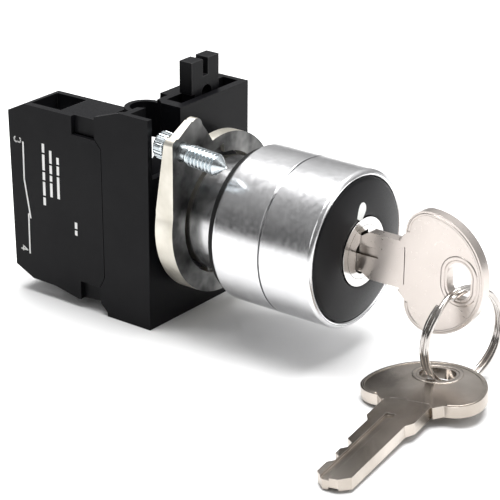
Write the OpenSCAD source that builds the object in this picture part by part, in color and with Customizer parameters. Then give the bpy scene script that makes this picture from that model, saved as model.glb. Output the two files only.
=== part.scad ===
// Selector key switch for a 22 mm panel hole: a chromed operator with a key lock, the
// zinc-plated yoke that clamps it to the panel, a clip-on adapter with one contact block,
// and two keys on a split ring.
// Frame: origin on the lock axis at the panel's front face, +Y into the panel, +Z up.

/* [Operator] */
// Diameter of the chromed bezel
bezel_d = 29.5; // [28:0.5:31]
// Length of the bezel in front of the gasket
bezel_len = 22; // [20:0.5:25]
// Diameter of the barrel that passes through the panel
barrel_d = 22; // [21.8:0.1:22.2]
// Smooth length of the barrel behind the panel's front face
journal_len = 6.7; // [6.5:0.1:6.8]
// Thickness of the panel gasket
gasket_t = 1.3; // [1:0.1:1.5]

/* [Lock] */
// Diameter of the lock's polished face
lock_d = 12.9; // [12.7:0.1:13.1]
// Diameter of the turning plug
plug_d = 10; // [9.8:0.1:10.2]
// Thickness of a key
key_t = 2.1; // [1.9:0.1:2.2]
// Width of a key's blade
blade_w = 7.0; // [6.6:0.1:7.2]
// Travel that the cam gives over a quarter turn
cam_travel = 3; // [2.6:0.1:3]

/* [Clamping yoke] */
// Outer radius of the yoke's round body
yoke_r = 15.4; // [15:0.1:15.6]
// Thickness of the yoke
yoke_t = 4; // [3.4:0.1:4]
// Diameter of the clamping screw's thread
screw_d = 4; // [3.8:0.1:4.1]

/* [Adapter] */
// Width of the adapter, three 10 mm contact bays less a gap
adapter_w = 29.8; // [29.6:0.1:30]
// Height of the adapter's top edge above the axis
adapter_top = 20.6; // [20:0.1:21]
// Depth of the adapter's bottom edge below the axis
adapter_bottom = 20.7; // [20:0.1:21]

/* [Contact block] */
// Width of one contact block
block_w = 10; // [9.6:0.1:10.2]
// Depth of the block's rear face behind the panel's front face
block_rear = 47.1; // [46.5:0.1:48]

/* [Key ring] */
// Mean radius of the split ring
ring_r = 8.95; // [8.8:0.05:9]
// Diameter of the ring's wire
wire_d = 1.05; // [0.9:0.05:1.1]

/* [Hidden] */
$fn = 96;
eps = 0.01;

// Stations along the axis
bezel_back = -gasket_t;
bezel_front = bezel_back - bezel_len;
seam_y = bezel_back - 10.7;
seam_w = 0.3;
lip_r = bezel_d / 2 - 1.28;
cup_r = 13;
disc_front = bezel_front + 0.15;
disc_t = 0.9;
disc_rise = 1.3;
lock_front = disc_front - disc_rise - 0.2;
shell_back = -2.9;
chamber_r = 8;
barrel_r = barrel_d / 2;
barrel_end = 16.4;
groove_r = barrel_r - 0.45;
mark_t = 0.3;
mark_r = 1.05;
stub_r = 3.5;
clip_y = -2.6;
rotor_front = -1.8;
rotor_back = 2.2;
ramp_r = [4.7, 7.2];
pad_start = 84;
stop_y = 0.2;
stop_r = 0.8;
stop_foot = 7.15;
stop_top = 10.6;
follower_gap = 0.05;
follower_front = rotor_back + cam_travel + 0.4;
follower_t = 1.7;
stem_r = 4;
retainer_y = 14.6;
retainer_t = 0.8;

// Adapter, behind the yoke
adapter_front = 12.8;
front_wall = 1.5;
pocket_back = 17.8;
rear_wall = 1.4;
side_t = 1.2;
channel_x = -5.5;
guide_at = [-7.2, 19.7];
guide_r = 3.9;
guide_top = 19.9;
half_w = adapter_w / 2;
foot_y = 19.4;
foot_t = 1.5;
foot_half = 10.3;
nose_y = foot_y + foot_t + follower_gap;

// Contact block, in the bay nearest the label side
block_left = -half_w;
block_right = block_left + block_w;
cover_t = 1;
block_x = block_left + cover_t + (block_w - cover_t) / 2;
wall = 1.2;
strip_y = 35.6;
strip_t = 0.8;
tip_h = 0.9;
tip_r = 1.2;
bridge_t = 0.6;
bridge_y = strip_y - tip_h - cam_travel - follower_gap - tip_h - bridge_t;
terminal_z = 11.2;
clamp_y = 41;
clamp_t = 1;

// Yoke
yoke_front = 6.9;
yoke_hole_r = 11.7;
screw_at = [-12.2, 15.3];
screw_dip = 4.7;
screw_head_r = 2.6;

// Keys: the outline runs along -Y from the blade's tip
key_tip = -3.9;
key_shoulder = lock_front - 0.2;
key_end = -50.2;
key_hole_y = -45.2;
neck_w = 9;
neck_slope = 1.6;
bow_r = 11.4;
ear_r = 4.8;
hole_r = 2.4;
hole_offset = 1;
// Place of the spare key's hole, and its heading, slope and lean in degrees
spare_hole_at = [-3.9, -43.6, -18.1];
spare_heading = 187.5;
spare_slope = 1.7;
spare_lean = 4.3;
ring_at = [1, key_hole_y, -11.15];
ring_yaw = -15;

chrome = [0.82, 0.83, 0.85];
zinc = [0.72, 0.74, 0.74];
nickel = [0.73, 0.68, 0.62];
charcoal = [0.1, 0.1, 0.11];
copper = [0.8, 0.5, 0.3];

// Turns a shape that is drawn along +Z so that it runs along +Y from station y
module along_y(y = 0) { translate([0, y, 0]) rotate([-90, 0, 0]) children(); }

// Tube round the Y axis between two stations
module tube_y(y0, y1, r_out, r_in = 0) {
    along_y(y0) difference() {
        cylinder(h = y1 - y0, r = r_out);
        if (r_in > 0) translate([0, 0, -eps]) cylinder(h = y1 - y0 + 2 * eps, r = r_in);
    }
}

// Pin along Y at a place in the XZ plane
module pin_y(at, y0, y1, r) { translate([at[0], 0, at[1]]) along_y(y0) cylinder(h = y1 - y0, r = r); }

// Box given by its lowest and highest corners
module block_between(low, high) { translate(low) cube([for (i = [0:2]) high[i] - low[i]]); }

// Outline drawn in (y, z), given a thickness along +X from x0
module plate_x(x0, thickness) {
    translate([x0, 0, 0]) rotate([90, 0, 90]) linear_extrude(thickness) children();
}

// Close-wound spring between two stations: turns that touch each other, revolved as one profile
module spring_y(at, y0, y1, r, wire) {
    turns = floor((y1 - y0) / wire);
    pitch = (y1 - y0 - wire) / (turns - 1);
    translate([at[0], 0, at[1]]) along_y(y0 + wire / 2) rotate_extrude() {
        for (i = [0:turns - 1]) translate([r - wire / 2, i * pitch]) circle(d = wire, $fn = 24);
        translate([r - wire * 0.7, 0]) square([wire * 0.4, y1 - y0 - wire]);
    }
}

// ---- Operator ----

module bezel_sleeve() {
    color(chrome) tube_y(seam_y + seam_w / 2, bezel_back, bezel_d / 2, cup_r);
}

module bezel_ring() {
    rim = (bezel_d / 2 - lip_r) / 2;
    color(chrome) along_y(bezel_front) rotate_extrude() {
        translate([cup_r, disc_front + disc_t - bezel_front])
            square([bezel_d / 2 - cup_r, seam_y - seam_w / 2 - disc_front - disc_t]);
        translate([lip_r, rim]) square([2 * rim, disc_front + disc_t - bezel_front - rim]);
        translate([lip_r + rim, rim]) circle(r = rim, $fn = 48);
    }
}

module operator_body() {
    color(zinc) difference() {
        union() {
            tube_y(disc_front + disc_t, bezel_back, cup_r);
            tube_y(bezel_back, 0, barrel_r + 0.3);
            tube_y(0, journal_len, barrel_r);
            tube_y(journal_len, barrel_end, groove_r);
        }
        tube_y(disc_front, shell_back, lock_d / 2);
        tube_y(shell_back, barrel_end + 1, chamber_r);
        // Hole for the pin that stops the rotor
        translate([0, stop_y, 0]) cylinder(h = stop_top, r = stop_r);
    }
}

// Skin of the disc, which rises towards the lock; back is the depth it reaches behind the rim
module disc_layer(back) {
    inner = lock_d / 2 + 0.03;
    outer = lip_r - 0.05;
    along_y(disc_front) rotate_extrude() polygon([[inner, -disc_rise], [outer, 0], [outer, back],
        [inner, back < disc_t ? back - disc_rise : back]]);
}

module front_disc() {
    color(charcoal) difference() {
        disc_layer(disc_t);
        position_mark();
    }
}

// Drop-shaped mark at twelve o'clock, its point towards the lock
module position_mark() {
    color("white") intersection() {
        disc_layer(mark_t);
        translate([0, disc_front + 1, 0]) rotate([90, 0, 0]) linear_extrude(3) {
            translate([0, 8.1]) circle(r = mark_r);
            polygon([[-mark_r, 8], [-0.3, 6], [0.3, 6], [mark_r, 8]]);
        }
    }
}

module lock_shell() {
    color(chrome) difference() {
        tube_y(lock_front, shell_back, lock_d / 2, plug_d / 2 + 0.05);
        // Channel that the wafers drop into when the key is out
        block_between([-2.3, -21.5, plug_d / 2 - 1], [2.3, -7.5, plug_d / 2 + 1]);
    }
}

module panel_gasket() {
    color(charcoal) tube_y(bezel_back, 0, bezel_d / 2 - 0.85, barrel_r + 0.3);
}

// Pin that runs in the rotor's groove and limits it to a quarter turn
module stop_pin() { color(zinc) translate([0, stop_y, stop_foot]) cylinder(h = stop_top - stop_foot, r = stop_r); }

module spring_retainer() {
    color(zinc) tube_y(retainer_y, retainer_y + retainer_t, chamber_r, stem_r + 0.4);
}

// ---- Lock plug, which turns with the key ----

wafer_pitch = 2.6;
wafer_y = [for (i = [0:4]) -20.4 + i * wafer_pitch];

module keyway(y0, y1) {
    half = blade_w / 2 + 0.5;
    block_between([-key_t / 2 - 0.12, y0, -half], [key_t / 2 + 0.12, y1, half]);
}

module lock_plug() {
    color(chrome) difference() {
        union() {
            tube_y(lock_front, shell_back, plug_d / 2);
            tube_y(shell_back, rotor_back - 0.5, stub_r);
        }
        keyway(lock_front - 1, key_tip + 0.1);
        // Round recess at the keyway's mouth
        pin_y([0, -0.9], lock_front - 1, lock_front + 0.9, 3.2);
        for (y = wafer_y) block_between([-2.3, y - 0.35, -plug_d], [2.3, y + 0.35, plug_d]);
        for (y = wafer_y) translate([3.1, y, -1]) cylinder(h = plug_d, r = 0.45);
        difference() {
            tube_y(clip_y - 0.05, clip_y + 0.55, stub_r + 1);
            tube_y(clip_y - 1, clip_y + 1, stub_r - 0.5);
        }
    }
}

module wafers() {
    color(copper) for (y = wafer_y) difference() {
        block_between([-2.2, y - 0.3, -4.5], [2.2, y + 0.3, 4.5]);
        keyway(y - 1, y + 1);
    }
}

module wafer_springs() {
    color(zinc) for (y = wafer_y) translate([3.1, y, -0.95]) cylinder(h = 4.2, r = 0.4);
}

module plug_clip() {
    color(zinc) difference() {
        tube_y(clip_y, clip_y + 0.5, 5.6, stub_r - 0.5);
        block_between([-1.8, clip_y - 1, -7], [1.8, clip_y + 1, 0]);
    }
}

// Two stepped helical ramps, each a quarter turn long, push the follower back
module cam_rotor() {
    steps = 15;
    sweep = 90 / steps;
    dwell = 14;
    color([0.85, 0.85, 0.82]) difference() {
        union() {
            tube_y(rotor_front, rotor_back, chamber_r - 0.08);
            for (side = [0, 180], i = [2:steps])
                along_y(rotor_back - 0.2)
                    rotate_extrude(angle = sweep + (i == steps ? dwell : 0),
                            start = side + pad_start - i * sweep - (i == steps ? dwell : 0))
                        translate([ramp_r[0] - 0.3, 0])
                            square([ramp_r[1] - ramp_r[0] + 0.5, 0.2 + cam_travel * (i - 1) / steps]);
        }
        tube_y(rotor_front - 1, rotor_back - 0.4, stub_r);
        // Groove for the stop pin, a quarter turn and the pin's own width
        along_y(stop_y - stop_r - 0.1) rotate_extrude(angle = 105, start = 172.5)
            translate([stop_foot - 0.15, 0]) square([2, 2 * stop_r + 0.2]);
    }
}

// ---- Keys and ring ----

// Key in the YZ plane: blade, neck with its stop shoulders, and bow
module key_outline() {
    bow_y = key_end + bow_r;
    difference() {
        union() {
            // Blade with a pointed end and bitting cut into one edge
            polygon([[key_shoulder, -blade_w / 2], [key_tip - 1.6, -blade_w / 2], [key_tip, -1.6],
                [key_tip, 1.2], [key_tip - 1.6, blade_w / 2 - 0.6], [key_tip - 5, blade_w / 2 - 0.6],
                [key_tip - 6, 1.9], [key_tip - 7.4, 1.9], [key_tip - 8.2, 3], [key_tip - 10, 3],
                [key_tip - 10.9, 2.1], [key_tip - 12.4, 2.1], [key_tip - 13.6, blade_w / 2],
                [key_shoulder, blade_w / 2]]);
            polygon([[key_shoulder - 9, -neck_w / 2], [key_shoulder - neck_slope, -neck_w / 2],
                [key_shoulder, -blade_w / 2], [key_shoulder, blade_w / 2],
                [key_shoulder - neck_slope, neck_w / 2], [key_shoulder - 9, neck_w / 2]]);
            intersection() {
                translate([bow_y, 0]) circle(r = bow_r, $fn = 128);
                translate([bow_y - bow_r, -bow_r]) square([bow_r, 2 * bow_r]);
            }
            for (side = [-1, 1]) translate([bow_y, side * (bow_r - ear_r)]) circle(r = ear_r);
            translate([bow_y - 1, -(bow_r - ear_r)]) square([ear_r + 1, 2 * (bow_r - ear_r)]);
            // Neck blends into the bow
            for (side = [-1, 1]) translate([bow_y + ear_r, side * (neck_w / 2 + 0.4)])
                rotate(45) square(2, center = true);
        }
        for (side = [-1, 1]) translate([key_hole_y, side * hole_offset]) circle(r = hole_r);
        translate([key_hole_y - hole_r, -hole_offset]) square([2 * hole_r, 2 * hole_offset]);
    }
}

module key_solid() {
    difference() {
        plate_x(-key_t / 2, key_t) key_outline();
        // Grooves milled along both sides of the blade
        for (side = [-1, 1]) block_between(
            [side * key_t / 2 - 0.45, key_shoulder - 3.5, -0.9 - side * 0.8],
            [side * key_t / 2 + 0.45, 1, 0.9 - side * 0.8]);
    }
}

module key() { color(nickel) key_solid(); }

module split_ring() {
    color(nickel) translate(ring_at) rotate([90, 0, ring_yaw]) rotate_extrude($fn = 128)
        for (side = [-1, 1]) translate([ring_r, side * wire_d * 0.48]) circle(d = wire_d, $fn = 32);
}

module spare_key() {
    color(nickel) translate(spare_hole_at) rotate([0, 0, spare_heading - 90])
        rotate([-spare_slope, spare_lean, 0]) rotate([0, 90, 0]) translate([0, -key_hole_y, 0]) key_solid();
}

// ---- Cam follower ----

module cam_follower() {
    pad = [ramp_r[0], ramp_r[1] - ramp_r[0]];
    color([0.85, 0.85, 0.82]) {
        tube_y(follower_front, follower_front + follower_t, chamber_r - 0.5);
        for (side = [0, 180]) along_y(rotor_back + follower_gap)
            rotate_extrude(angle = 12, start = side + pad_start)
                translate([pad[0], 0]) square([pad[1], follower_front - rotor_back]);
        tube_y(follower_front + follower_t - eps, foot_y + eps, stem_r);
        block_between([-foot_half, foot_y, -2], [foot_half, foot_y + foot_t, 2]);
    }
}

module follower_spring() {
    color(zinc) spring_y([0, 0], follower_front + follower_t, retainer_y, 6.2, 0.9);
}

// ---- Clamping yoke ----

module yoke_outline() {
    circle(r = yoke_r, $fn = 128);
    // Ear for the clamping screw, with a rounded top
    polygon([[-15.1, -3], [-15.1, 17], [-9.6, 20.3], [-7.4, 20.1], [-4.9, 17], [-3.2, 14.6], [0, 0]]);
    translate([-13.9, 16.9]) circle(r = 1.2);
    translate([-8.2, 18.9]) circle(r = 1.65);
}

// Tips the clamping screw's axis, with its point towards the barrel
module dipped() {
    pivot = [screw_at[0], yoke_front, screw_at[1]];
    translate(pivot) rotate([screw_dip, 0, 0]) translate(-pivot) children();
}

module clamping_yoke() {
    color(zinc) difference() {
        translate([0, yoke_front + yoke_t, 0]) rotate([90, 0, 0]) linear_extrude(yoke_t) yoke_outline();
        tube_y(yoke_front - 1, yoke_front + yoke_t + 1, yoke_hole_r);
        // The back slopes forward towards the ear
        translate([-30, yoke_front + yoke_t, 4]) rotate([8.5, 0, 0]) cube([60, 10, 30]);
        dipped() pin_y(screw_at, yoke_front - 1, yoke_front + yoke_t + 1, screw_d / 2 - 0.2);
        // Opening beside the ear that lets the yoke drop over the barrel
        translate([0, yoke_front - 1, 0]) rotate([0, -14, 0]) block_between([-3, 0, 9], [3, 1.8, 13.2]);
    }
    // Jaw that bites into the barrel's groove
    color(zinc) intersection() {
        tube_y(yoke_front + 0.8, yoke_front + 2, yoke_hole_r + 0.5, groove_r + 0.08);
        block_between([-4, 0, -14], [4, 20, -5]);
    }
}

module yoke_screw() {
    shank_r = screw_d / 2 - 0.25;
    head_y = yoke_front + yoke_t - 1;
    color(zinc) dipped() difference() {
        union() {
            pin_y(screw_at, yoke_front - 2.2, head_y + eps, shank_r);
            pin_y(screw_at, -1.1, yoke_front - 2, screw_d / 2);
            translate([screw_at[0], 0, screw_at[1]]) along_y(-2.9) cylinder(h = 1.8 + eps, r1 = 0.3, r2 = screw_d / 2);
            pin_y(screw_at, head_y, head_y + 2.2, screw_head_r);
        }
        // Cross recess
        translate([screw_at[0], head_y + 1.2, screw_at[1]]) for (a = [0, 90]) rotate([0, a, 0])
            block_between([-2, 0, -0.4], [2, 2, 0.4]);
    }
}

// ---- Adapter ----

module side_profile() {
    polygon([[adapter_front, adapter_top], [19.6, adapter_top], [25.6, 18.6], [25.6, 14.4], [24, 12.6],
        [23.7, -13], [25.1, -15.7], [24.7, -18.5], [23.2, -19.9], [19.7, -adapter_bottom],
        [adapter_front, -adapter_bottom]]);
}

module adapter_frame() {
    bay_x = half_w - block_w;
    color(charcoal) difference() {
        union() {
            // Side walls, bottom, front wall and inner wall
            for (x = [-half_w, half_w - side_t]) plate_x(x, side_t) side_profile();
            block_between([-half_w, adapter_front, -adapter_bottom], [half_w, 23.2, -adapter_bottom + 1.5]);
            block_between([-half_w, adapter_front, -adapter_bottom],
                [half_w, adapter_front + front_wall, adapter_top]);
            block_between([-half_w, pocket_back, -adapter_bottom], [half_w, pocket_back + rear_wall, adapter_top]);
            // Thick part of the front under the yoke
            block_between([-half_w, adapter_front, -adapter_bottom], [half_w, pocket_back, -14]);
            // Web beside the lever
            block_between([channel_x, adapter_front, 13.5], [-3.3, pocket_back, adapter_top]);
            // Ribs between the three bays
            for (x = [-bay_x, bay_x]) block_between([x - 0.5, pocket_back, -adapter_bottom], [x + 0.5, 23.2, -13]);
            for (x = [-bay_x, bay_x]) block_between([x - 0.5, pocket_back, 13], [x + 0.5, 23.2, 18.5]);
            // Round guide at the back of the left bay and the catch of the middle bay
            translate([guide_at[0], guide_at[1], 13]) cylinder(h = guide_top - 13, r = guide_r);
            block_between([0.6, pocket_back, 13], [7.4, 22.6, adapter_top - 0.8]);
        }
        tube_y(adapter_front - 1, adapter_front + front_wall + 1, groove_r + 0.25);
        tube_y(pocket_back - 1, 30, 13);
        block_between([-13, pocket_back - 1, -3], [13, 30, 3]);
        // Open channel at the ear for the clamping screw
        block_between([-half_w + side_t, adapter_front - 1, 9], [channel_x, adapter_front + front_wall + 1, 30]);
        block_between([-half_w + side_t, pocket_back - 1, 9.5], [-11.6, pocket_back + rear_wall + 1, 17]);
        translate([guide_at[0], guide_at[1], 10]) cylinder(h = 20, r = guide_r - 1);
        block_between([-half_w + side_t, adapter_front + front_wall, 9], [channel_x, pocket_back, 30]);
    }
}

module lock_lever() {
    ring_y = adapter_front + front_wall + 0.15;
    arm_x = 4;
    color(charcoal) difference() {
        union() {
            tube_y(ring_y, pocket_back - 0.15, 13.1, groove_r + 0.08);
            block_between([arm_x - 3, ring_y + 0.1, 11.5], [arm_x + 4, pocket_back - 0.25, 24]);
            // Two prongs of the fork
            for (x = [arm_x - 3.9, arm_x + 0.9]) {
                block_between([x, ring_y + 0.1, 21], [x + 3.3, pocket_back - 0.25, 27.3]);
            }
        }
        // Arched cut below the web
        translate([arm_x + 0.5, 0, 20.6]) along_y(ring_y - 1) cylinder(h = 6, r = 1.5);
        tube_y(ring_y - 1, pocket_back + 1, groove_r + 0.08);
    }
}

// ---- Contact block ----

module block_profile() {
    polygon([[25.75, 14.3], [25.75, 17.7], [43.1, 17.5], [block_rear, 15.5], [46.3, -15.8],
        [41.9, -17.8], [36.3, -17.9], [30.5, -19], [24.9, -18.4], [25.3, -15.7], [23.9, -13.05],
        [24.15, 12.5]]);
}

module block_housing() {
    inner_x = block_left + cover_t;
    color(charcoal) difference() {
        plate_x(inner_x, block_w - cover_t) block_profile();
        // Chamber for the contacts, open on the cover's side
        block_between([inner_x - 1, 24.9, -14.4], [block_right - wall, block_rear - wall - 0.9, 14.2]);
        // Wire entries at both ends
        block_between([inner_x + 0.5, strip_y + strip_t, -25], [block_right - wall, clamp_y + 1.4, 25]);
        block_between([inner_x + 0.5, strip_y - 0.6, 10], [block_right - wall, clamp_y + 1.4, 25]);
        // Way in for the plunger and for the screwdriver
        block_between([block_x - 2.6, 20, -3.1], [block_x + 2.6, 26, 3.1]);
        for (side = [-1, 1]) pin_y([block_x, side * terminal_z], 40, 60, 3.1);
    }
}

module block_cover() {
    color(charcoal) difference() {
        plate_x(block_left, cover_t) block_profile();
        // Snap pockets at the front corners
        block_between([block_left - 1, 23, 14], [block_left + 2, 31.2, 20]);
        block_between([block_left - 1, 23, -20], [block_left + 2, 29.8, -15.2]);
        // Seat of the printed circuit symbol
        symbol(0.15);
    }
}

symbol_w = 0.35;

// Circuit symbol of a normally open contact, sunk flush into the cover
module symbol(depth) {
    plate_x(block_left - (depth > 0.1 ? 0.05 : 0), depth) {
        translate([43.3, 2.2]) square([symbol_w, 7.6]);
        translate([42.5, -12.8]) square([symbol_w, 8.2]);
        polygon([[43.3, 2.4], [43.3 + symbol_w, 2.4], [42 + symbol_w, -5.4], [42, -5.4]]);
    }
}

module label_print() { color("white") symbol(0.1); }

module fixed_contact(side) {
    hole = [block_x, side * terminal_z];
    color(copper) difference() {
        block_between([block_x - 2.6, strip_y, side > 0 ? 4.8 : -14.2],
            [block_x + 2.6, strip_y + strip_t, side > 0 ? 14.2 : -4.8]);
        pin_y(hole, strip_y - 1, strip_y + 3, 1.6);
    }
}

module fixed_contact_top() { fixed_contact(1); }

module fixed_contact_bottom() { fixed_contact(-1); }

module fixed_tips() {
    color("silver") for (side = [-1, 1]) pin_y([block_x, side * 6.8], strip_y - tip_h, strip_y, tip_r);
}

module wire_clamps() {
    color(zinc) for (side = [-1, 1]) difference() {
        block_between([block_x - 2.7, clamp_y, side * terminal_z - 2.6],
            [block_x + 2.7, clamp_y + clamp_t, side * terminal_z + 2.6]);
        pin_y([block_x, side * terminal_z], clamp_y - 1, clamp_y + 3, 1.6);
    }
}

module terminal_screw(side) {
    at = [block_x, side * terminal_z];
    color(zinc) difference() {
        union() {
            pin_y(at, strip_y - 1, clamp_y + clamp_t + 0.1 + eps, 1.5);
            pin_y(at, clamp_y + clamp_t + 0.1, clamp_y + clamp_t + 2, 2.7);
        }
        translate([at[0], clamp_y + clamp_t + 1, at[1]]) for (a = [0, 90]) rotate([0, a, 0])
            block_between([-1.8, 0, -0.35], [1.8, 3, 0.35]);
    }
}

module terminal_screw_top() { terminal_screw(1); }

module terminal_screw_bottom() { terminal_screw(-1); }

window_front = bridge_y - 3.5;
plunger_end = bridge_y + bridge_t + 2.2;

module plunger() {
    color([0.75, 0.15, 0.12]) difference() {
        union() {
            block_between([block_x - 2.4, nose_y, -2.9], [block_x + 2.4, plunger_end, 2.9]);
            pin_y([block_x, 0], plunger_end - eps, plunger_end + 2, 1.2);
        }
        // Window that carries the bridge and its spring
        block_between([block_x - 1.95, window_front, -4], [block_x + 1.95, bridge_y + bridge_t, 4]);
    }
}

module contact_bridge() {
    color(copper) block_between([block_x - 1.8, bridge_y, -8.2], [block_x + 1.8, bridge_y + bridge_t, 8.2]);
}

module bridge_tips() {
    color("silver") for (side = [-1, 1])
        pin_y([block_x, side * 6.8], bridge_y + bridge_t, bridge_y + bridge_t + tip_h, tip_r);
}

module contact_spring() { color(zinc) spring_y([block_x, 0], window_front, bridge_y, 1.7, 0.45); }

module return_spring() {
    color(zinc) spring_y([block_x, 0], plunger_end, block_rear - wall - 0.9, 2, 0.5);
}

bezel_sleeve();
bezel_ring();
operator_body();
front_disc();
position_mark();
lock_shell();
panel_gasket();
stop_pin();
spring_retainer();
lock_plug();
wafers();
wafer_springs();
plug_clip();
cam_rotor();
key();
split_ring();
spare_key();
cam_follower();
follower_spring();
clamping_yoke();
yoke_screw();
adapter_frame();
block_housing();
block_cover();
label_print();
fixed_contact_top();
fixed_contact_bottom();
fixed_tips();
wire_clamps();
lock_lever();
plunger();
contact_bridge();
bridge_tips();
contact_spring();
return_spring();
terminal_screw_top();
terminal_screw_bottom();
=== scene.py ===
"""Looks of the selector key switch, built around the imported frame. Metres, in the part's own frame."""

import math

import bmesh
import bpy
from mathutils import Matrix, Vector


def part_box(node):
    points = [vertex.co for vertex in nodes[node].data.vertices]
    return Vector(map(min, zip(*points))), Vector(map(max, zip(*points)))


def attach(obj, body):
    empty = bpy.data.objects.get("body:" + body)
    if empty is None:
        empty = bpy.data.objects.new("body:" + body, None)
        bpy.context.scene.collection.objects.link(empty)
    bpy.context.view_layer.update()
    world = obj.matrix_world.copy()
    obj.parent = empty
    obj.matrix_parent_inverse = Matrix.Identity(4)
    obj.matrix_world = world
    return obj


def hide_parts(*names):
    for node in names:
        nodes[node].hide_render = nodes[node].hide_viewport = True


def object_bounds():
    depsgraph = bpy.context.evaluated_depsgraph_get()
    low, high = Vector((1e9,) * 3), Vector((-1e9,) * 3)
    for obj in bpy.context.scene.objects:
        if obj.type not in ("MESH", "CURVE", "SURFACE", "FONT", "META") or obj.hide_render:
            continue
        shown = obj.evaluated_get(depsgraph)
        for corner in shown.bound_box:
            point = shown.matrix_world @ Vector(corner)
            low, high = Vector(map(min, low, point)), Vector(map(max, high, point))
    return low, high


MM = 0.001
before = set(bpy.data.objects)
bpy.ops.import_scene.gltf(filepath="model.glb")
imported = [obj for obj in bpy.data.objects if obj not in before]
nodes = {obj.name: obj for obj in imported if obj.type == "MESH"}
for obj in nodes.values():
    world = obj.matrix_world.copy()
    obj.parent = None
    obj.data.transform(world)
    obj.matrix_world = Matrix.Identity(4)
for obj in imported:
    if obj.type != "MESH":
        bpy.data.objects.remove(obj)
cad_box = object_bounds()
scene = bpy.context.scene


# ---- Materials ----

def socket(shader, name, value):
    shader.inputs[name].default_value = value


def new_material(name):
    made = bpy.data.materials.new(name)
    made.use_nodes = True
    tree = made.node_tree
    shader = next(n for n in tree.nodes if n.type == "BSDF_PRINCIPLED")
    coords = tree.nodes.new("ShaderNodeTexCoord")
    return made, tree, shader, coords


def noise(tree, coords, scale, detail=4.0, rough=0.55, stretch=None):
    """Noise in object space; scale is in features per metre."""
    node = tree.nodes.new("ShaderNodeTexNoise")
    socket(node, "Scale", scale)
    socket(node, "Detail", detail)
    socket(node, "Roughness", rough)
    source = coords.outputs["Object"]
    if stretch:
        mapping = tree.nodes.new("ShaderNodeMapping")
        mapping.inputs["Scale"].default_value = stretch
        tree.links.new(source, mapping.inputs["Vector"])
        source = mapping.outputs["Vector"]
    tree.links.new(source, node.inputs["Vector"])
    return node.outputs["Fac"]


def ramp(tree, source, low, high, start=0.3, end=0.7):
    """Two colours, or two greys, along a noise."""
    node = tree.nodes.new("ShaderNodeValToRGB")
    ends = node.color_ramp.elements
    ends[0].position, ends[1].position = start, end
    ends[0].color = (*low, 1) if isinstance(low, tuple) else (low, low, low, 1)
    ends[1].color = (*high, 1) if isinstance(high, tuple) else (high, high, high, 1)
    tree.links.new(source, node.inputs["Fac"])
    return node.outputs["Color"]


def bump(tree, shader, layers):
    """Bump from (height, strength, distance in mm) layers, one over another."""
    normal = None
    for height, strength, distance in layers:
        node = tree.nodes.new("ShaderNodeBump")
        socket(node, "Strength", strength)
        socket(node, "Distance", distance * MM)
        tree.links.new(height, node.inputs["Height"])
        if normal:
            tree.links.new(normal, node.inputs["Normal"])
        normal = node.outputs["Normal"]
    tree.links.new(normal, shader.inputs["Normal"])


def plastic(name, dark, light, rough, grain=2600, grain_depth=0.02, coat=0.0, gloss=0.09):
    """Moulded plastic: fine eroded grain over slow mottling."""
    made, tree, shader, coords = new_material(name)
    slow = noise(tree, coords, 90, 3)
    fine = noise(tree, coords, grain, 6, 0.65)
    tree.links.new(ramp(tree, slow, dark, light), shader.inputs["Base Color"])
    tree.links.new(ramp(tree, fine, rough - 0.07, rough + 0.1), shader.inputs["Roughness"])
    bump(tree, shader, [(fine, 0.5, grain_depth), (slow, 0.3, 0.02)])
    socket(shader, "Specular IOR Level", gloss)
    socket(shader, "Coat Weight", coat)
    socket(shader, "Coat Roughness", 0.3)
    return made


def metal(name, dark, light, rough, spread=0.1, fine=1500, slow=160, dents=0.01, stretch=None, mottled=0.0,
          anisotropic=0.0):
    """Plated or milled metal: slow tone changes, fine scratches or grain, and small dents."""
    made, tree, shader, coords = new_material(name)
    broad = noise(tree, coords, slow, 3)
    grain = noise(tree, coords, fine, 5, 0.6, stretch)
    tree.links.new(ramp(tree, broad, dark, light, 0.35, 0.65), shader.inputs["Base Color"])
    mixed = grain
    if mottled:
        spots = noise(tree, coords, slow * 3.2, 5, 0.7)
        both = tree.nodes.new("ShaderNodeMath")
        both.operation = "MULTIPLY_ADD"
        both.inputs[1].default_value = mottled
        tree.links.new(spots, both.inputs[0])
        tree.links.new(grain, both.inputs[2])
        mixed = both.outputs["Value"]
    tree.links.new(ramp(tree, mixed, rough, rough + spread, 0.35, 0.75), shader.inputs["Roughness"])
    bump(tree, shader, [(grain, 0.35, dents), (broad, 0.4, dents * 2.5)])
    socket(shader, "Metallic", 1.0)
    socket(shader, "Anisotropic", anisotropic)
    return made


BLACK = plastic("black_moulded", (0.004, 0.004, 0.005), (0.007, 0.007, 0.008), 0.36)
BLACK_BLOCK = plastic("black_block", (0.004, 0.004, 0.005), (0.007, 0.007, 0.008), 0.40, 3200, 0.015)
# Lighter, glossier black for the rounded edges: a painted highlight along the edges of the black plastic
# parts
BLACK_EDGE_HIGHLIGHT = plastic("black_edge_painted_highlight", (0.012, 0.012, 0.013), (0.024, 0.024, 0.025), 0.30, 1500, 0.01,
                     gloss=0.3)
DISC = plastic("disc_satin", (0.006, 0.006, 0.007), (0.010, 0.010, 0.011), 0.36, 4200, 0.006, gloss=0.16)
RUBBER = plastic("gasket_rubber", (0.012, 0.012, 0.012), (0.022, 0.022, 0.022), 0.68, 1800, 0.03)
INK = plastic("white_print", (0.72, 0.72, 0.71), (0.8, 0.8, 0.79), 0.5, 5200, 0.006, gloss=0.3)
MARK = plastic("white_mark", (0.80, 0.82, 0.80), (0.88, 0.89, 0.87), 0.38, 4200, 0.008)
CREAM = plastic("cam_plastic", (0.66, 0.65, 0.60), (0.74, 0.73, 0.69), 0.4)
RED = plastic("plunger_plastic", (0.36, 0.02, 0.015), (0.45, 0.03, 0.02), 0.3, coat=0.3)
CHROME = metal("chrome_plate", (0.70, 0.70, 0.71), (0.80, 0.80, 0.81), 0.15, 0.12, 1100, 150, 0.003,
               mottled=0.25)
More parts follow.
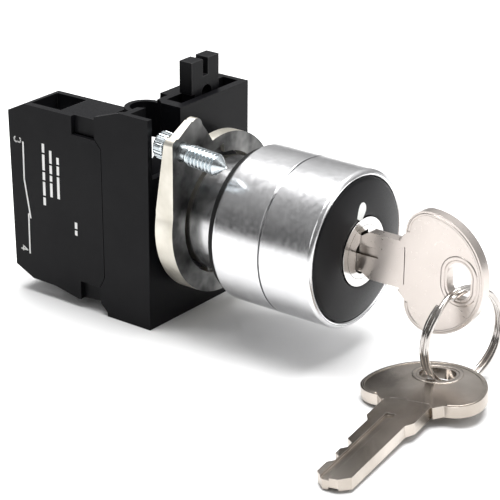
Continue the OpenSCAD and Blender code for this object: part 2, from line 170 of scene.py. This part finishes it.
CAST = metal("bright_cast", (0.50, 0.50, 0.51), (0.70, 0.70, 0.70), 0.14, 0.12, 700, 140, 0.006,
             mottled=0.3)
LOCK = metal("polished_lock", (0.60, 0.59, 0.57), (0.74, 0.73, 0.72), 0.15, 0.08, 1400, 120, 0.002,
             stretch=(1, 1, 6), anisotropic=0.4)
# Very dark zinc base: a painted dark reflection of the shaded floor that the yoke's front mirrors
ZINC_DARK_REFLECTION = metal("yoke_zinc", (0.05, 0.05, 0.05), (0.22, 0.22, 0.215), 0.2, 0.16, 800, 170, 0.01, mottled=0.6)
ZINC_EDGE = metal("yoke_cut_edge", (0.60, 0.57, 0.50), (0.72, 0.69, 0.62), 0.42, 0.12, 900, 160, 0.012)
SCREW = metal("screw_zinc", (0.52, 0.57, 0.60), (0.70, 0.75, 0.77), 0.16, 0.12, 1200, 200, 0.004,
              mottled=0.3)
NICKEL = metal("key_nickel", (0.56, 0.51, 0.475), (0.62, 0.565, 0.53), 0.26, 0.06, 1600, 60, 0.0015,
               mottled=0.2)
# Darker nickel of the spare key; on the key in the lock it also serves as painted shade on the neck
SPARE_AND_NECK_SHADE = metal("spare_nickel_and_neck_shade", (0.33, 0.29, 0.25), (0.56, 0.51, 0.46), 0.22, 0.05, 1600, 60, 0.001,
              mottled=0.15)
RING = metal("ring_nickel", (0.48, 0.45, 0.43), (0.64, 0.61, 0.58), 0.12, 0.1, 1500, 260, 0.003)
BRASS = metal("wafer_brass", (0.70, 0.52, 0.22), (0.80, 0.62, 0.30), 0.25)
SPRING = metal("spring_steel", (0.42, 0.42, 0.44), (0.56, 0.56, 0.58), 0.2)
COPPER = metal("contact_copper", (0.62, 0.36, 0.22), (0.78, 0.50, 0.34), 0.24)
SILVER = metal("contact_silver", (0.82, 0.82, 0.80), (0.90, 0.90, 0.89), 0.15)

for names, finish in {
    ("operator_body",): CAST,
    ("stop_pin", "plug_clip", "spring_retainer", "wafer_springs", "follower_spring", "contact_spring",
     "return_spring"): SPRING,
    ("wafers",): BRASS,
    ("cam_rotor", "cam_follower"): CREAM,
    ("plunger",): RED,
    ("contact_bridge", "fixed_contact_top", "fixed_contact_bottom"): COPPER,
    ("bridge_tips", "fixed_tips"): SILVER,
    ("wire_clamps", "terminal_screw_top", "terminal_screw_bottom"): SCREW,
}.items():
    for name in names:
        nodes[name].data.materials.clear()
        nodes[name].data.materials.append(finish)


# ---- Mesh helpers ----

def add_piece(name, mesh, body, finish, replaced=(), smooth=True):
    piece = bpy.data.objects.new(name, mesh)
    scene.collection.objects.link(piece)
    mesh.materials.clear()
    mesh.materials.append(finish)
    for face in mesh.polygons:
        face.use_smooth = smooth
    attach(piece, body)
    if replaced:
        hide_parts(*replaced)
    return piece


def weighted(piece):
    """Normals that follow the large faces, so that flat and straight faces stay even."""
    normals = piece.modifiers.new("normals", "WEIGHTED_NORMAL")
    normals.weight = 100
    normals.keep_sharp = True
    return piece


def bevelled(piece, width, segments=2, angle=28):
    bevel = piece.modifiers.new("edge", "BEVEL")
    bevel.width = width * MM
    bevel.segments = segments
    bevel.limit_method = "ANGLE"
    bevel.angle_limit = math.radians(angle)
    bevel.use_clamp_overlap = True
    bevel.miter_outer = "MITER_ARC"
    return weighted(piece)


def mesh_from(name, verts, faces):
    mesh = bpy.data.meshes.new(name)
    mesh.from_pydata([Vector(v) * MM for v in verts], [], faces)
    work = bmesh.new()
    work.from_mesh(mesh)
    bmesh.ops.recalc_face_normals(work, faces=work.faces)
    work.to_mesh(mesh)
    work.free()
    return mesh


def ring_quads(spans, sides):
    """Quads between spans + 1 rings of as many points each."""
    faces = []
    for i in range(spans):
        for j in range(sides):
            k = (j + 1) % sides
            faces.append((i * sides + j, i * sides + k, (i + 1) * sides + k, (i + 1) * sides + j))
    return faces


def soften(node, body, finish, width, name=None, segments=2, angle=28, edge=None, whole=True):
    """Copy of a CAD node with its flat faces whole again, unless told not to, and its edges rounded."""
    work = bmesh.new()
    work.from_mesh(nodes[node].data)
    bmesh.ops.remove_doubles(work, verts=work.verts, dist=2e-6)
    if whole:
        bmesh.ops.dissolve_limit(work, angle_limit=math.radians(0.6), verts=work.verts, edges=work.edges)
    mesh = bpy.data.meshes.new(name or node + "_soft")
    work.to_mesh(mesh)
    work.free()
    piece = add_piece(name or node + "_soft", mesh, body, finish, (node,))
    bevelled(piece, width, segments, angle)
    if edge:
        piece.data.materials.append(edge)
        piece.modifiers["edge"].material = 1
    return piece


def revolve(name, profile, body, finish, replaced=(), segments=192):
    """Solid of revolution about +Y from a closed outline of (y, r) points in mm."""
    verts, faces, count = [], [], len(profile)
    for i in range(segments):
        a = 2 * math.pi * i / segments
        verts += [(r * math.cos(a), y, r * math.sin(a)) for y, r in profile]
    for i in range(segments):
        j = (i + 1) % segments
        for k in range(count):
            m = (k + 1) % count
            faces.append((i * count + k, j * count + k, j * count + m, i * count + m))
    return weighted(add_piece(name, mesh_from(name, verts, faces), body, finish, replaced))


def arc(cy, cr, radius, start, end, steps=8):
    """Arc in a (y, r) profile, angles in degrees from +y."""
    return [(cy + radius * math.cos(math.radians(start + (end - start) * i / steps)),
             cr + radius * math.sin(math.radians(start + (end - start) * i / steps)))
            for i in range(steps + 1)]


def tube(name, points, radius, body, finish, sides, place, replaced):
    """Round wire along points in mm, moved to its place by a matrix."""
    curve = bpy.data.curves.new(name, "CURVE")
    curve.dimensions = "3D"
    line = curve.splines.new("POLY")
    line.points.add(len(points) - 1)
    for point, at in zip(line.points, points):
        point.co = (*(Vector(at) * MM), 1)
    line.use_smooth = True
    curve.bevel_depth = radius * MM
    curve.bevel_resolution = sides // 4
    curve.use_fill_caps = True
    holder = bpy.data.objects.new(name, curve)
    scene.collection.objects.link(holder)
    bpy.context.view_layer.update()
    mesh = bpy.data.meshes.new_from_object(holder.evaluated_get(bpy.context.evaluated_depsgraph_get()))
    bpy.data.objects.remove(holder)
    mesh.transform(place)
    return add_piece(name, mesh, body, finish, replaced)


# ---- Operator ----

front, back = (v * 1000 for v in (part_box("bezel_ring")[0].y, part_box("bezel_sleeve")[1].y))
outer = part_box("bezel_ring")[1].x * 1000
seam_gap = 0.17
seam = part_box("bezel_ring")[1].y * 1000 + 0.15
lip = outer - 1.28
rim = 0.64
bore = 13.0

seam_edge = [(0.32, 0), (0.22, -0.04), (seam_gap, -0.12)]
ring_profile = [(seam - seam_gap, bore), (front + 1.05, bore), (front + 1.05, lip)]
ring_profile += [(front + rim + 0.2, lip)] + arc(front + rim, lip + rim, rim, 270, 180, 6)
ring_profile += arc(front + rim + 0.26, outer - rim - 0.26, rim + 0.26, 180, 90, 10)[1:]
ring_profile += [(seam - away, outer + step) for away, step in seam_edge]
revolve("bezel_front_shell", ring_profile, "head", CHROME, ("bezel_ring",))

sleeve_profile = [(back, bore), (seam + seam_gap, bore)]
sleeve_profile += [(seam + away, outer + step) for away, step in reversed(seam_edge)] + [(back - 0.95, outer)]
sleeve_profile += arc(back - 0.75, outer - 0.75, 0.75, 90, 0, 8)
revolve("bezel_rear_shell", sleeve_profile, "head", CHROME, ("bezel_sleeve",))

gasket_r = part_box("panel_gasket")[1].x * 1000
gasket_profile = [(back, 11.3), (back, gasket_r - 0.2)] + arc(back + 0.35, gasket_r - 0.3, 0.3, 180, 90, 5)
gasket_profile += arc(-0.35, gasket_r - 0.3, 0.3, 90, 0, 5) + [(0, 11.3)]
revolve("gasket_ring", gasket_profile, "head", RUBBER, ("panel_gasket",))

disc_front = front + 0.15
lock_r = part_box("lock_shell")[1].x * 1000
disc_rise = 1.3


def disc_y(r):
    """Front of the disc at a radius: a shallow dome that flattens towards the lock."""
    t = (r - lock_r) / (lip - 0.05 - lock_r)
    return disc_front - disc_rise * (1 - t * t * (1.35 - 0.35 * t))


dome_outer, dome_inner, dome_steps = lip - 0.3, lock_r + 0.35, 12
disc_profile = [(disc_front + 0.85, lip - 0.06), (disc_front + 0.25, lip - 0.06),
                (disc_front + 0.08, lip - 0.14)]
for i in range(dome_steps + 1):
    r = dome_outer - (dome_outer - dome_inner) * i / dome_steps
    disc_profile.append((disc_y(r), r))
disc_profile += [(disc_y(lock_r) + 0.05, lock_r + 0.17), (disc_y(lock_r) + 0.25, lock_r + 0.05)]
disc_profile += [(disc_front + 0.85, lock_r + 0.05)]
revolve("front_disc_dome", disc_profile, "head", DISC, ("front_disc",))

# Drop-shaped mark on the dome, from its round top to its narrow foot at the lock's edge, leaning a little
mark_top, mark_foot, mark_half = Vector((0.35, 9.15)), Vector((-1.55, 6.45)), 1.25
mark_axis = (mark_top - mark_foot).normalized()
mark_side = Vector((mark_axis.y, -mark_axis.x))
mark_length = (mark_top - mark_foot).length
mark_foot_half = 0.75
round_start = mark_length - mark_half
rows, columns = 28, 8
verts, faces = [], []
for i in range(rows + 1):
    along = mark_length * (1 - math.cos(math.pi * i / rows)) / 2
    if along > round_start:
        half = math.sqrt(max(0.0, mark_half ** 2 - (along - round_start) ** 2))
    else:
        half = mark_foot_half + (mark_half - mark_foot_half) * math.sin(math.pi / 2 * along / round_start)
    for j in range(columns + 1):
        across = 2 * j / columns - 1
        x, z = mark_foot + mark_axis * along + mark_side * half * across
        verts.append((x, disc_y(max(lock_r, math.hypot(x, z))) + 0.02 - 0.06 * (1 - across ** 4), z))
for i in range(rows):
    for j in range(columns):
        a = i * (columns + 1) + j
        faces.append((a, a + 1, a + columns + 2, a + columns + 1))
add_piece("position_mark_fill", mesh_from("position_mark_fill", verts, faces), "head", MARK,
          ("position_mark",))

soften("lock_shell", "head", LOCK, 0.16, segments=3)
soften("lock_plug", "lock_plug_set", LOCK, 0.07)


# ---- Yoke and its screw ----

yoke = soften("clamping_yoke", "yoke", ZINC_DARK_REFLECTION, 0.4, segments=4)
yoke.data.materials.append(ZINC_EDGE)
for face in yoke.data.polygons:
    face.material_index = 1 if abs(face.normal.y) < 0.3 else 0

# The screw's axis dips towards its point, about the yoke's front face
sx, sz, screw_pivot, screw_dip, head_r = -12.2, 15.3, 6.9, 4.7, 2.6
screw_place = (Matrix.Translation(Vector((sx, screw_pivot, sz)) * MM)
               @ Matrix.Rotation(math.radians(screw_dip), 4, "X")
               @ Matrix.Translation(Vector((-sx, -screw_pivot, -sz)) * MM))
tip_y, head_front, head_back = -2.9, 9.9, 12.1
thread_end = 4.6
pitch, crest, root, shank_r = 0.8, 2.0, 1.5, 1.72
tip_r, cone_length, cone_rise = 0.25, 1.9, 1.75
sides, length_steps = 64, 300
verts = []
stations = [tip_y + (head_front - tip_y) * i / length_steps for i in range(length_steps + 1)]
for y in stations:
    cone = tip_r + (y - tip_y) / cone_length * cone_rise
    for j in range(sides):
        a = 2 * math.pi * j / sides
        phase = ((y / pitch) - j / sides) % 1.0
        tooth = abs(2 * phase - 1)
        r = root + (crest - root) * min(1.0, max(0.0, 1.35 * tooth - 0.12))
        if y > thread_end:
            fade = min(1.0, (y - thread_end) / 0.8)
            r = r * (1 - fade) + shank_r * fade
        r = min(r, max(cone, tip_r))
        verts.append((sx + r * math.cos(a), y, sz + r * math.sin(a)))
faces = ring_quads(length_steps, sides)
faces.append(tuple(range(sides)))
thread_mesh = mesh_from("yoke_screw_thread", verts, faces)
thread_mesh.transform(screw_place)
add_piece("yoke_screw_thread", thread_mesh, "yoke_clamp_screw", SCREW, ("yoke_screw",))

# Rings of the head as (y, radius, kind)
PLAIN, KNURLED, CROSS = range(3)
verts = []
head_rings = [(head_front, 1.0, PLAIN), (head_front, head_r - 0.25, PLAIN),
              (head_front + 0.25, head_r, KNURLED), (head_front + 1.75, head_r, KNURLED),
              (head_back - 0.12, head_r - 0.25, PLAIN),
              (head_back, head_r - 0.6, PLAIN), (head_back, 1.2, CROSS), (head_back - 1.1, 0.9, CROSS)]
sides = 96
for y, r, kind in head_rings:
    for j in range(sides):
        a = 2 * math.pi * j / sides
        radius = r
        if kind == KNURLED:
            radius = r - (0.16 if j % 4 < 2 else 0)
        if kind == CROSS:
            radius = r * (1.45 if abs(math.sin(2 * a)) < 0.42 else 0.5)
        verts.append((sx + radius * math.cos(a), y, sz + radius * math.sin(a)))
faces = ring_quads(len(head_rings) - 1, sides)
faces.append(tuple(range((len(head_rings) - 1) * sides, len(head_rings) * sides)))
head_mesh = mesh_from("yoke_screw_head", verts, faces)
head_mesh.transform(screw_place)
add_piece("yoke_screw_head", head_mesh, "yoke_clamp_screw", SCREW, smooth=False)


# ---- Adapter, lever and contact block ----

# Their rounded edges take the lighter black: a painted edge highlight
soften("adapter_frame", "adapter", BLACK, 0.24, segments=3, edge=BLACK_EDGE_HIGHLIGHT)
soften("lock_lever", "lever", BLACK, 0.5, segments=4, edge=BLACK_EDGE_HIGHLIGHT)
soften("block_housing", "adapter", BLACK_BLOCK, 0.22, segments=3, edge=BLACK_EDGE_HIGHLIGHT)
soften("block_cover", "adapter", BLACK_BLOCK, 0.2, segments=3, edge=BLACK_EDGE_HIGHLIGHT)

cover_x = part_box("block_cover")[0].x * 1000


def print_plate(outline, depth=0.02):
    """A flat printed shape on the cover, given as (y, z) corners in mm."""
    verts = [(cover_x - depth, y, z) for y, z in outline] + [(cover_x + 0.05, y, z) for y, z in outline]
    count = len(outline)
    faces = [tuple(range(count)), tuple(range(2 * count - 1, count - 1, -1))]
    faces += [(i, (i + 1) % count, count + (i + 1) % count, count + i) for i in range(count)]
    return verts, faces


def print_piece(name, shapes, replaced=()):
    verts, faces = [], []
    for outline in shapes:
        more, more_faces = print_plate(outline)
        faces += [tuple(len(verts) + i for i in face) for face in more_faces]
        verts += more
    mesh = mesh_from(name, verts, faces)
    return add_piece(name, mesh, "adapter", INK, replaced, smooth=False)


def stroke(points, width):
    """Outlines of a pen stroke through (y, z) points."""
    shapes = []
    for (y0, z0), (y1, z1) in zip(points, points[1:]):
        along = Vector((y1 - y0, z1 - z0)).normalized() * (width / 2)
        side = Vector((-along.y, along.x))
        a, b = Vector((y0, z0)) - along * 0.6, Vector((y1, z1)) + along * 0.6
        shapes.append([tuple(a + side), tuple(b + side), tuple(b - side), tuple(a - side)])
    return shapes


def glyph(points, at, height, width):
    """Pen stroke in a unit box, turned a quarter so that it reads downwards and its top is towards -y."""
    placed = [(at[0] - (py - 0.5) * height, at[1] - (px - 0.5) * height * 0.62) for px, py in points]
    return stroke(placed, width)


THREE = [(0.05, 0.88), (0.3, 1.0), (0.7, 1.0), (0.93, 0.85), (0.93, 0.65), (0.7, 0.53), (0.4, 0.53),
         (0.7, 0.53), (0.95, 0.4), (0.95, 0.15), (0.7, 0.0), (0.3, 0.0), (0.05, 0.12)]
FOUR = [(0.72, 0.0), (0.72, 1.0), (0.05, 0.3), (1.0, 0.3)]

line_width, digit_height, digit_width = 0.32, 1.6, 0.26
symbol = []
for line in ([(43.5, 9.8), (43.5, 2.3)], [(43.5, 2.3), (42.15, -5.3)], [(42.65, -4.6), (42.65, -12.7)]):
    symbol += stroke(line, line_width)
print_piece("circuit_symbol", symbol, ("label_print",))
print_piece("terminal_number_3", glyph(THREE, (44.9, 10.0), digit_height, digit_width))
print_piece("terminal_number_4", glyph(FOUR, (44.0, -12.0), digit_height, digit_width))

# Plain bars where a maker would print ratings: (y, top z, lengths of the bars downwards)
bar_lines = [(38.4, 10.4, (1.4, 2.8, 1.2, 2.4, 1.2)), (36.6, 9.4, (2.2, 1.3, 0.8, 2.4)),
             (34.8, 8.4, (1.0, 1.4, 4.0)), (30.6, -3.6, (0.9, 0.6))]
bar_width, bar_gap = 0.62, 0.75
bars = []
for y, top, lengths in bar_lines:
    z = top
    for length in lengths:
        bars += stroke([(y, z), (y, z - length)], bar_width)
        z -= length + bar_gap
print_piece("rating_bars", bars)


# ---- Keys and ring ----

key_low, key_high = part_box("key")
key_end = key_low.y * 1000
key_t = (key_high.x - key_low.x) * 1000
bow_r = key_high.z * 1000
hole_y, hole_r, hole_offset = -45.2, 2.4, 1.0
ear_r = 4.8
bow_y = key_end + bow_r


def offset_bow(inset, steps=20):
    """Outline of the bow in (y, z), pulled in by inset mm, from one side of the neck round to the other."""
    r, e = bow_r - inset, ear_r - inset
    ear_z = bow_r - ear_r
    points = [(bow_y + e * math.cos(a), ear_z + e * math.sin(a))
              for a in [math.pi / 2 * i / steps for i in range(steps)]]
    points += [(bow_y + r * math.cos(a), r * math.sin(a))
               for a in [math.pi / 2 + math.pi * i / (2 * steps) for i in range(2 * steps + 1)]]
    points += [(bow_y + e * math.cos(a), -ear_z + e * math.sin(a))
               for a in [-math.pi / 2 + math.pi / 2 * i / steps for i in range(1, steps + 1)]]
    return points


def raised_band(outline_out, outline_in, x0, rise, closed):
    """Low raised band between two outlines with as many points, on one face of a key."""
    count = len(outline_out)
    pairs = list(zip(outline_out, outline_in))
    near_out = [((a[0] * 3 + b[0]) / 4, (a[1] * 3 + b[1]) / 4) for a, b in pairs]
    near_in = [((a[0] + b[0] * 3) / 4, (a[1] + b[1] * 3) / 4) for a, b in pairs]
    shoulder = x0 + rise * 0.7
    rings = [(outline_out, x0), (outline_out, shoulder), (near_out, x0 + rise), (near_in, x0 + rise),
             (outline_in, shoulder), (outline_in, x0)]
    verts = [(x, y, z) for outline, x in rings for y, z in outline]
    faces = []
    for k in range(len(rings) - 1):
        for i in range(count if closed else count - 1):
            j = (i + 1) % count
            faces.append((k * count + i, k * count + j, (k + 1) * count + j, (k + 1) * count + i))
    if not closed:
        faces += [tuple(k * count + i for k in range(len(rings))) for i in (0, count - 1)]
    return verts, faces


def slot_outline(grow, steps=16):
    points = [(hole_y + (hole_r + grow) * math.cos(a), hole_offset + (hole_r + grow) * math.sin(a))
              for a in [math.pi * i / steps for i in range(steps + 1)]]
    return points + [(y, -z) for y, z in reversed(points)]


def key_relief(name, body, finish, place=None):
    """Raised rim of the bow and the band round its hole, on both faces of a key."""
    rim_band = (offset_bow(0.35), offset_bow(0.8), False)
    hole_band = (slot_outline(1.3), slot_outline(0.45), True)
    verts, faces = [], []
    for side in (-1, 1):
        for outline_out, outline_in, closed in (rim_band, hole_band):
            more, quads = raised_band(outline_out, outline_in, side * (key_t / 2 - 0.02), side * 0.12, closed)
            faces += [tuple(len(verts) + i for i in quad) for quad in quads]
            verts += more
    mesh = mesh_from(name, verts, faces)
    if place is not None:
        mesh.transform(place)
    return add_piece(name, mesh, body, finish)


key_piece = soften("key", "key_in_lock", NICKEL, 0.28, segments=3, angle=24, whole=False)
# The neck's side and edge faces from groove_start into the lock take the darker spare-key metal: painted
# shade on the neck next to the lock
key_piece.data.materials.append(SPARE_AND_NECK_SHADE)
groove_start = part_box("lock_shell")[0].y - 3.9 * MM
for face in key_piece.data.polygons:
    if face.center.y > groove_start and abs(face.normal.x) < 0.7:
        face.material_index = 1
key_relief("key_relief", "key_in_lock", NICKEL)
soften("spare_key", "spare_key_body", SPARE_AND_NECK_SHADE, 0.22, segments=3, angle=24, edge=NICKEL,
       whole=False)

# Where the spare key hangs: the place of its hole, then its heading, lean and slope in degrees
spare_hole_at, spare_heading, spare_lean, spare_slope = (-3.9, -43.6, -18.1), 187.5, 4.3, 1.7
spare_place = (Matrix.Translation(Vector(spare_hole_at) * MM)
               @ Matrix.Rotation(math.radians(spare_heading - 90), 4, "Z")
               @ Matrix.Rotation(math.radians(spare_lean), 4, "Y")
               @ Matrix.Rotation(math.radians(-spare_slope), 4, "X")
               @ Matrix.Rotation(math.radians(90), 4, "Y")
               @ Matrix.Translation(Vector((0, -hole_y, 0)) * MM))
key_relief("spare_key_relief", "spare_key_body", SPARE_AND_NECK_SHADE, spare_place)

ring_low, ring_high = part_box("split_ring")
ring_at = (ring_low + ring_high) / 2
ring_radius, wire = 8.95, 1.05
coil = []
coil_steps = 260
start_angle, sweep = math.radians(128), math.radians(2 * 360 - 16)
jog_start, jog_sweep = math.radians(330), math.radians(50)
for i in range(coil_steps + 1):
    t = sweep * i / coil_steps
    a = start_angle + t
    jog = min(1.0, max(0.0, (t - jog_start) / jog_sweep))
    side = (jog * jog * (3 - 2 * jog) * 2 - 1) * wire * 0.49
    coil.append((ring_radius * math.cos(a), ring_radius * math.sin(a), side))
ring_place = (Matrix.Translation(ring_at) @ Matrix.Rotation(math.radians(-15), 4, "Z")
              @ Matrix.Rotation(math.radians(90), 4, "X"))
tube("split_ring_coil", coil, wire / 2 - 0.01, "key_ring", RING, 24, ring_place,
     ("split_ring",))


# ---- Floor, light and camera ----

def stage_plane(name, size, z):
    mesh = bpy.data.meshes.new(name)
    half = size / 2
    corners = [(-half, -half, z), (half, -half, z), (half, half, z), (-half, half, z)]
    mesh.from_pydata(corners, [], [(0, 1, 2, 3)])
    made = bpy.data.objects.new(name, mesh)
    scene.collection.objects.link(made)
    return made


floor_z = cad_box[0].z - 0.00003
floor = stage_plane("floor", 3.0, floor_z)
paper, tree, shader, coords = new_material("floor_paper")
tree.links.new(ramp(tree, noise(tree, coords, 8), 0.86, 0.89), shader.inputs["Base Color"])
socket(shader, "Roughness", 0.55)
floor.data.materials.append(paper)


def area_light(name, at, aim, size, power, size_y=None, colour=(1, 1, 1)):
    light = bpy.data.lights.new(name, "AREA")
    light.shape = "RECTANGLE"
    light.size, light.size_y = size, size_y or size
    light.energy = power
    light.color = colour
    holder = bpy.data.objects.new(name, light)
    holder.location = at
    holder.rotation_euler = (Vector(aim) - Vector(at)).to_track_quat("-Z", "Y").to_euler()
    scene.collection.objects.link(holder)


centre = (-0.01, -0.012, 0.0)
area_light("top_light", (0.06, 0.02, 0.60), centre, 0.55, 7.5, 0.45)
area_light("left_light", (-0.60, 0.10, 0.35), centre, 0.25, 0.45, 0.4)
area_light("front_light", (0.15, -0.60, 0.30), centre, 0.25, 0.7, 0.4)

world = bpy.data.worlds.new("studio")
scene.world = world
world.use_nodes = True
background = next(n for n in world.node_tree.nodes if n.type == "BACKGROUND")
sky = world.node_tree.nodes.new("ShaderNodeTexCoord")
split = world.node_tree.nodes.new("ShaderNodeSeparateXYZ")
world.node_tree.links.new(sky.outputs["Generated"], split.inputs["Vector"])


def sky_band(source, stops):
    """Grey levels along one axis of the sky."""
    band = world.node_tree.nodes.new("ShaderNodeValToRGB")
    while len(band.color_ramp.elements) < len(stops):
        band.color_ramp.elements.new(0.5)
    for element, (position, level) in zip(band.color_ramp.elements, stops):
        element.position = position
        element.color = (level, level, level, 1)
    world.node_tree.links.new(source, band.inputs["Fac"])
    return band.outputs["Color"]


shift = world.node_tree.nodes.new("ShaderNodeMath")
shift.operation = "MULTIPLY_ADD"
shift.inputs[1].default_value, shift.inputs[2].default_value = 0.5, 0.5
world.node_tree.links.new(split.outputs["X"], shift.inputs[0])
product = world.node_tree.nodes.new("ShaderNodeMix")
product.data_type, product.blend_type = "RGBA", "MULTIPLY"
product.inputs["Factor"].default_value = 1.0
up_bands = sky_band(split.outputs["Z"], [(0.0, 0.5), (0.1, 0.35), (0.35, 0.5), (0.6, 0.85), (0.8, 1.0)])
side_bands = sky_band(shift.outputs["Value"], [(0.08, 0.3), (0.35, 0.5), (0.6, 1.0), (0.95, 1.25)])
world.node_tree.links.new(up_bands, product.inputs["A"])
world.node_tree.links.new(side_bands, product.inputs["B"])
world.node_tree.links.new(product.outputs["Result"], background.inputs["Color"])
background.inputs["Strength"].default_value = 0.8

camera = bpy.data.cameras.new("camera")
camera.lens, camera.sensor_width = 157.0, 36.0
camera.shift_x, camera.shift_y = -0.003, 0.003
camera.clip_start = 0.01
holder = bpy.data.objects.new("camera", camera)
scene.collection.objects.link(holder)
azimuth, elevation, roll = (math.radians(v) for v in (-52.983, 22.736, 0.374))
level = math.cos(elevation)
away = Vector((math.sin(azimuth) * level, -math.cos(azimuth) * level, math.sin(elevation)))
right = Vector((math.cos(azimuth), math.sin(azimuth), 0))
up = away.cross(right)
right, up = (right * math.cos(roll) + up * math.sin(roll), up * math.cos(roll) - right * math.sin(roll))
holder.matrix_world = Matrix.Translation((-0.2985, -0.2246, 0.1502)) @ Matrix(
    [(right[i], up[i], away[i], 0) for i in range(3)] + [(0, 0, 0, 1)])
scene.camera = holder
scene.view_settings.view_transform = "Standard"
